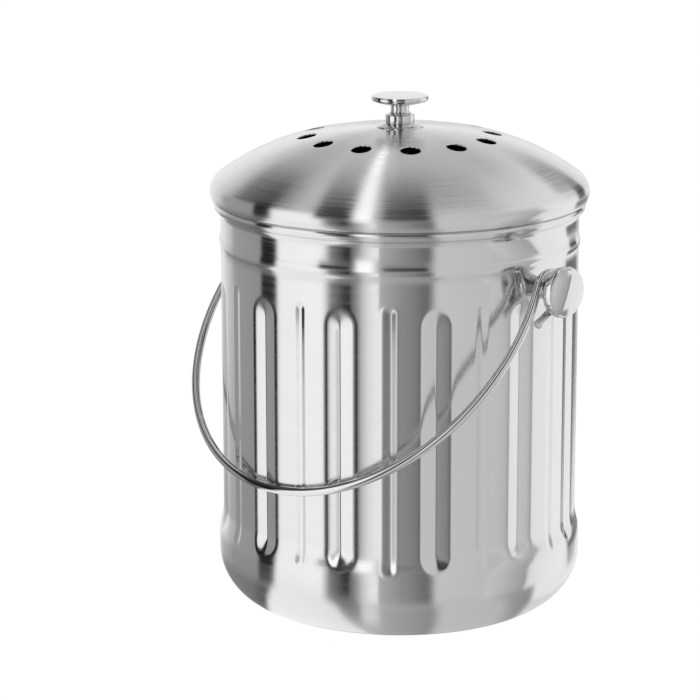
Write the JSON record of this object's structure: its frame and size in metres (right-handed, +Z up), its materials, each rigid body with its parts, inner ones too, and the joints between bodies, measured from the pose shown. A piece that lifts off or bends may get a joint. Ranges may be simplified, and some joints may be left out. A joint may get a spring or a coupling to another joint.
{
  "type": "countertop compost pail",
  "caption": "Fluted steel countertop compost pail with a vented, domed lift-off lid, a turned knob, a carbon filter under the vents and a swinging wire bail.",
  "frame": {"origin": "centre of the pail's flat bottom, on the surface it stands on", "axes": "+Z up through the knob; X along the bail's pivot through both posts; at rest the bail leans on the -Y side"},
  "size_m": [0.212, 0.1778, 0.243],
  "materials": {
    "pail_steel": "bright satin stainless sheet, fine brushing round the pail, near mirror on the flutes",
    "lid_steel": "stainless sheet, fine circular brushing round the knob",
    "knob_steel": "turned stainless with fine lathe lines",
    "post_steel": "turned stainless, satin face",
    "wire_steel": "polished drawn wire",
    "hardware_steel": "plain zinc-plated fasteners",
    "filter_plastic": "moulded black plastic",
    "carbon_pad": "open felt loaded with carbon"
  },
  "bodies": {
    "pail": {"pail_shell": "pail_steel", "handle_cap_right": "post_steel", "handle_cap_left": "post_steel", "handle_sleeve_right": "post_steel", "handle_sleeve_left": "post_steel", "handle_washer_right": "hardware_steel", "handle_washer_left": "hardware_steel", "handle_nut_right": "hardware_steel", "handle_nut_left": "hardware_steel"},
    "bail": {"bail_handle": "wire_steel"},
    "lid": {"lid_dome": "lid_steel", "lid_locating_ring": "lid_steel", "knob_head": "knob_steel", "knob_collar": "knob_steel", "knob_flange": "knob_steel", "knob_screw": "hardware_steel", "knob_washer": "hardware_steel", "filter_housing": "filter_plastic"},
    "cage": {"filter_cage": "filter_plastic", "charcoal_filter": "carbon_pad"}
  },
  "joints": [
    {"name": "bail_swing", "type": "hinge", "parent": "pail", "child": "bail", "pos_m": [0, 0, 0.1645], "axis": [-1, 0, 0], "range_deg": [0, 274.5]},
    {"name": "lid_lift", "type": "slide", "parent": "pail", "child": "lid", "axis": [0, 0, 1], "range_m": [0, 0.12]},
    {"name": "cage_drop", "type": "slide", "parent": "lid", "child": "cage", "axis": [0, 0, -1], "range_m": [0, 0.035]}
  ]
}
